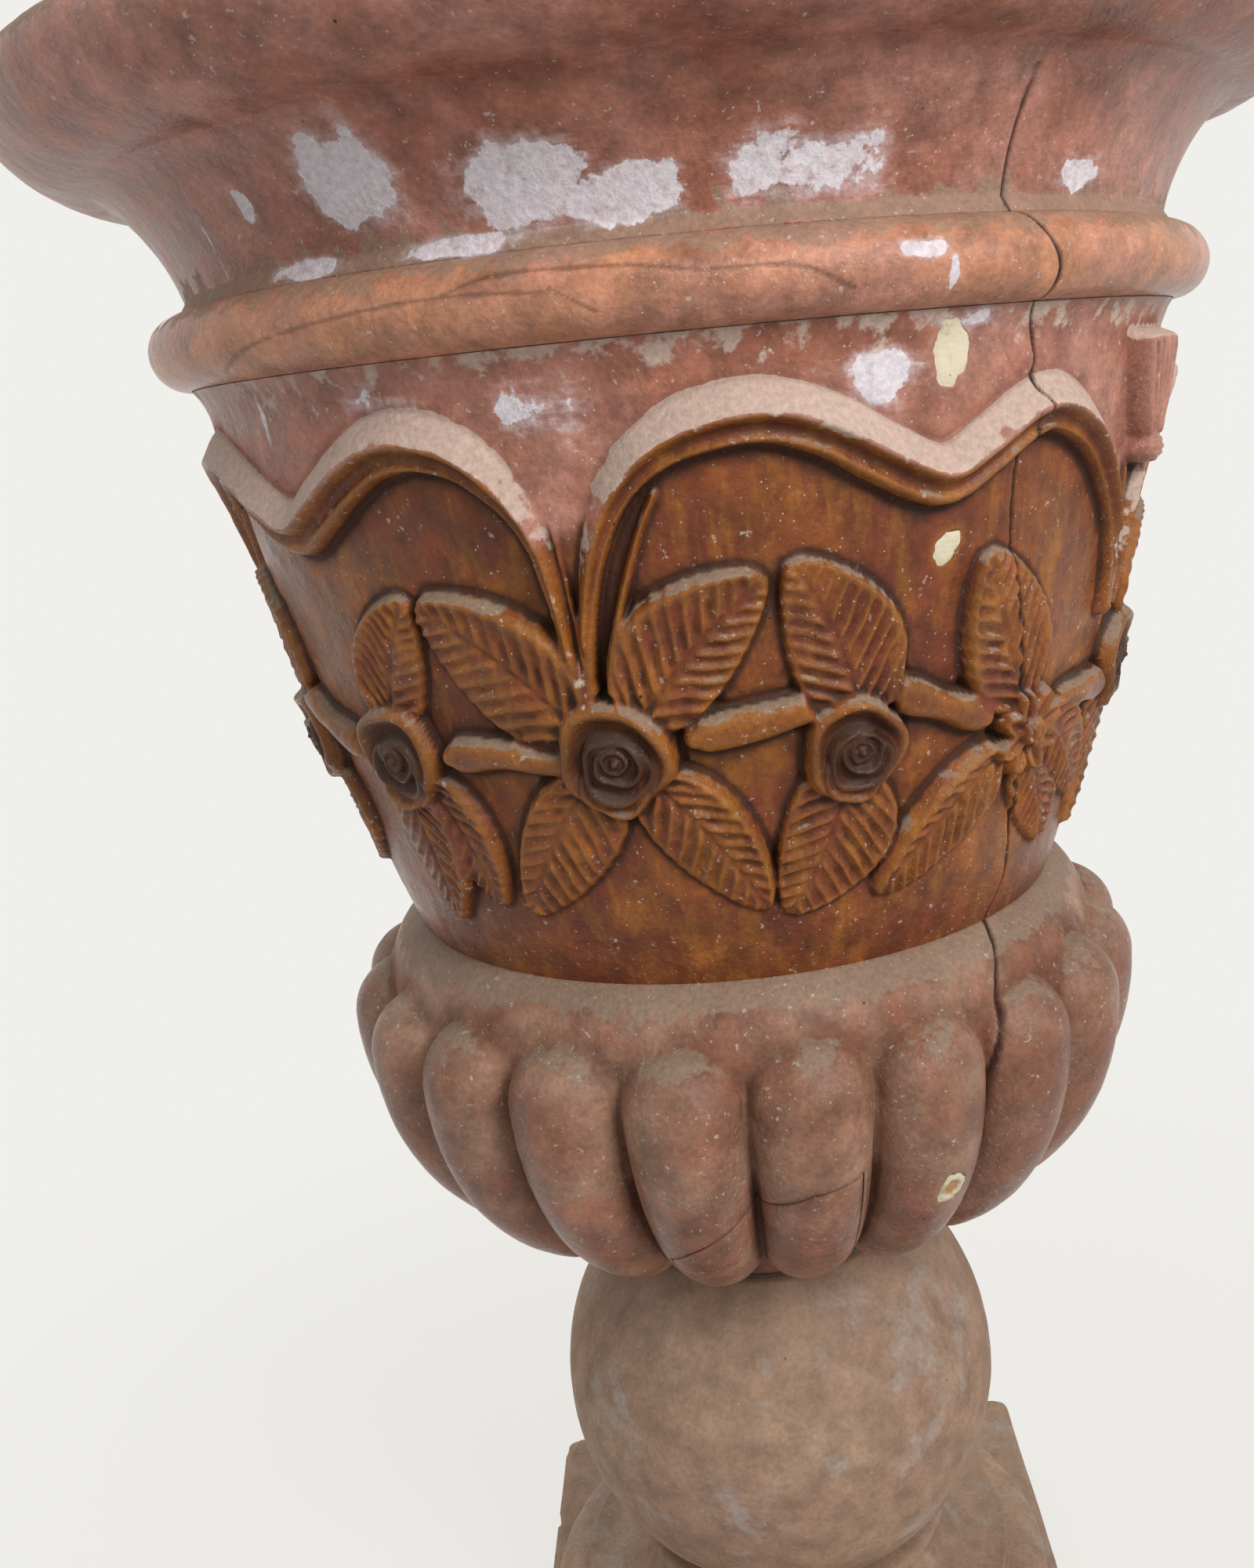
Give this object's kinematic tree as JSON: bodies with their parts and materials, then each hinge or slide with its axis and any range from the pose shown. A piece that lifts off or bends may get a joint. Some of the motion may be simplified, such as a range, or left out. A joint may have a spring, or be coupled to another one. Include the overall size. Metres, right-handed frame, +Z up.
{
  "type": "urn planter",
  "caption": "Carved stone urn planter: bell-shaped bowl with flared rim, torus band and gadroon lobes, on a ball stem, round foot and square plinth.",
  "frame": {"origin": "on the floor, under the middle of the square plinth", "axes": "+Z up along the urn's turning axis, -Y towards the side with the re-glued lobe tips"},
  "size_m": [0.9618, 0.9618, 1.48],
  "materials": {
    "red_marble": "worn wax polish over carved marble",
    "cream_fill": "rough plaster fill",
    "pale_stone": "matte honed stone",
    "mortar": "matte mortar",
    "lead": "dull lead sheet",
    "steel": "plain steel tube"
  },
  "bodies": {
    "base": {"plinth": "pale_stone", "foot_bed": "mortar", "foot": "pale_stone", "stem_tube": "steel", "stem_seat": "lead"},
    "stem": {"stem": "pale_stone", "bowl_tube": "steel", "bowl_seat": "lead"},
    "bowl": {"bowl": "red_marble", "lobe_fragment": "red_marble", "fill_band": "cream_fill", "fill_frieze": "cream_fill", "fill_lobe": "cream_fill"}
  },
  "joints": [
    {"name": "stem_lift", "type": "slide", "parent": "base", "child": "stem", "axis": [0, 0, 1], "range_m": [0, 0.15]},
    {"name": "bowl_lift", "type": "slide", "parent": "stem", "child": "bowl", "axis": [0, 0, 1], "range_m": [0, 0.15]}
  ]
}
